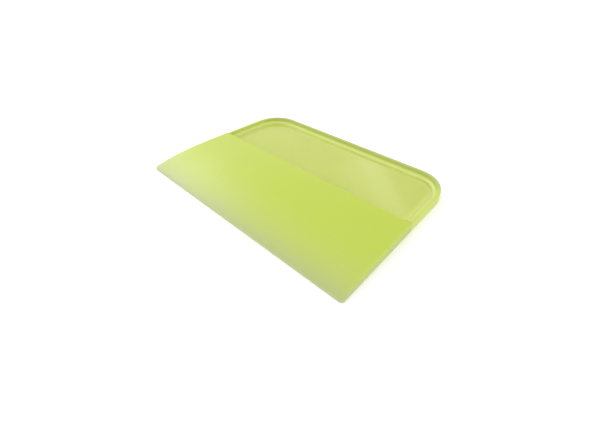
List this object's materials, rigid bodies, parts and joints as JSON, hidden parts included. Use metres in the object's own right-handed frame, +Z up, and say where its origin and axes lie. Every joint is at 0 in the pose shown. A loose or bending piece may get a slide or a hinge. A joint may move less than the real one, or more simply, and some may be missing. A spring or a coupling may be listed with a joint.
{
  "type": "squeegee applicator",
  "caption": "Flat card squeegee with a soft blade tapering to a fine working edge and, behind it, a shallow finger recess framed by a raised rim.",
  "frame": {"origin": "centre of the outline on the flat underside", "axes": "+X along the working edge, +Y from the working edge to the rear rim, +Z up out of the finger recess"},
  "size_m": [0.1298, 0.084, 0.0046],
  "materials": {
    "blade_elastomer": "satin translucent cast polyurethane, paler towards the thin edge",
    "rim_elastomer": "satin translucent polyurethane with softened edges",
    "pane_plastic": "glossy translucent sheet",
    "bead_clear": "glossy clear sealing bead"
  },
  "bodies": {
    "root": {"blade": "blade_elastomer", "grip_rim": "rim_elastomer", "grip_pane": "pane_plastic", "pane_bead": "bead_clear"}
  },
  "joints": []
}
